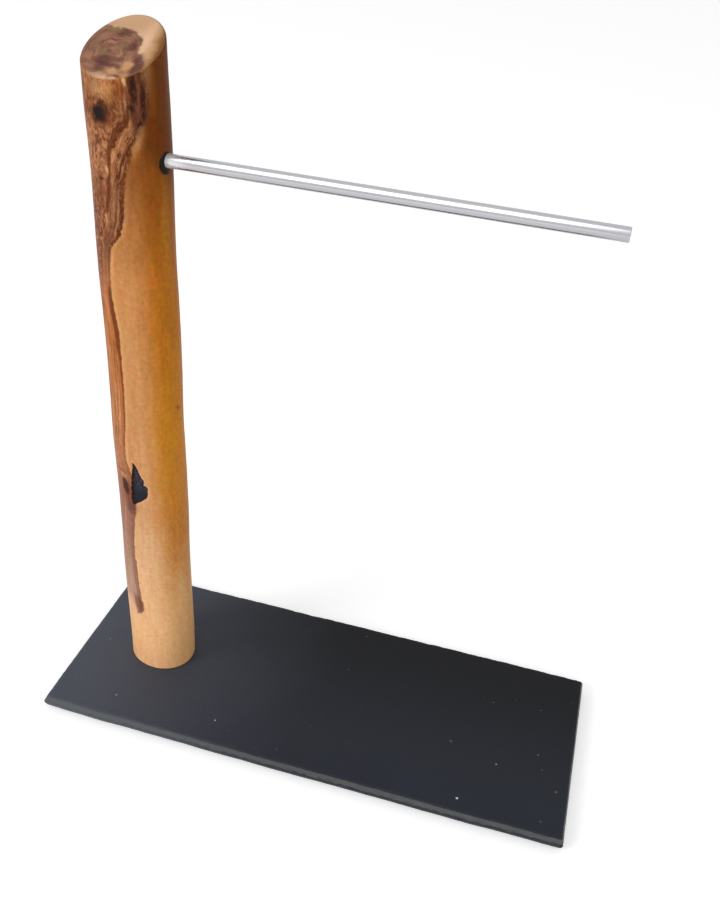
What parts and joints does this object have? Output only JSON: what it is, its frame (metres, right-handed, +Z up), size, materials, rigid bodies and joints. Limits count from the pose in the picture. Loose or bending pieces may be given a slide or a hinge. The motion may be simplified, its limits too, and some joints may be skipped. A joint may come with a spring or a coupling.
{
  "type": "banana hanger",
  "caption": "Free-standing fruit hanger: a slate base carries an upright olive-wood branch with a slanted top, and a slim level metal rod stands out from it to hang fruit on.",
  "frame": {"origin": "middle of the footprint, on the surface that the foot pads stand on", "axes": "+X along the slate from the post towards the rod's free end, +Y from front to back, +Z up along the post"},
  "size_m": [0.2798, 0.1108, 0.3429],
  "materials": {
    "slate": "matte",
    "olive_wood": "satin",
    "aluminium_rod": "satin",
    "screw_steel": "satin",
    "pad_rubber": "matte"
  },
  "bodies": {
    "root": {"slate_base": "slate", "post": "olive_wood", "hanging_rod": "aluminium_rod", "post_screws": "screw_steel", "foot_pad_front_left": "pad_rubber", "foot_pad_front_right": "pad_rubber", "foot_pad_back_left": "pad_rubber", "foot_pad_back_right": "pad_rubber"}
  },
  "joints": []
}
